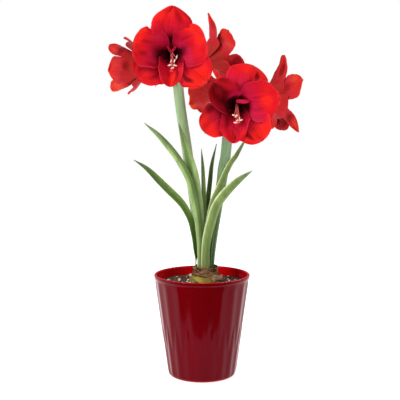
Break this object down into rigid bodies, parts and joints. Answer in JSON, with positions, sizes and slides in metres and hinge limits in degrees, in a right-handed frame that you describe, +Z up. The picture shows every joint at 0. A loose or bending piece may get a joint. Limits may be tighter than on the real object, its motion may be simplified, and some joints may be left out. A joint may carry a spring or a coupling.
{
  "type": "potted amaryllis",
  "caption": "Flowering amaryllis in a filled, fluted plastic pot, with upright scapes of open trumpet blooms and strap leaves from one bulb.",
  "frame": {"origin": "centre of the pot's flat base, on the surface that it stands on", "axes": "+Z up, -Y towards the front, where the two large open blooms face, +X to the viewer's right"},
  "size_m": [0.3393, 0.22, 0.6431],
  "materials": {
    "pot": "glossy dark red",
    "soil": "matte, loose and granular",
    "bulb": "dry, papery tunics",
    "scape": "satin with a waxy bloom",
    "bract": "dry and translucent",
    "leaf": "satin, waxy",
    "petals": "velvety satin",
    "stamens": "powdery anthers on smooth filaments"
  },
  "bodies": {
    "root": {"pot": "pot", "soil": "soil", "bulb": "bulb", "scape_left": "scape", "bract_left_a": "bract", "bract_left_b": "bract", "scape_right": "scape", "bract_right_a": "bract", "bract_right_b": "bract", "leaf_1": "leaf", "leaf_2": "leaf", "leaf_3": "leaf", "leaf_4": "leaf", "leaf_5": "leaf", "leaf_6": "leaf", "leaf_7": "leaf", "leaf_8": "leaf", "petals_a1": "petals", "stamens_a1": "stamens", "petals_a2": "petals", "stamens_a2": "stamens", "petals_a3": "petals", "stamens_a3": "stamens", "petals_b1": "petals", "stamens_b1": "stamens", "petals_b2": "petals", "stamens_b2": "stamens", "petals_b3": "petals", "stamens_b3": "stamens"}
  },
  "joints": []
}
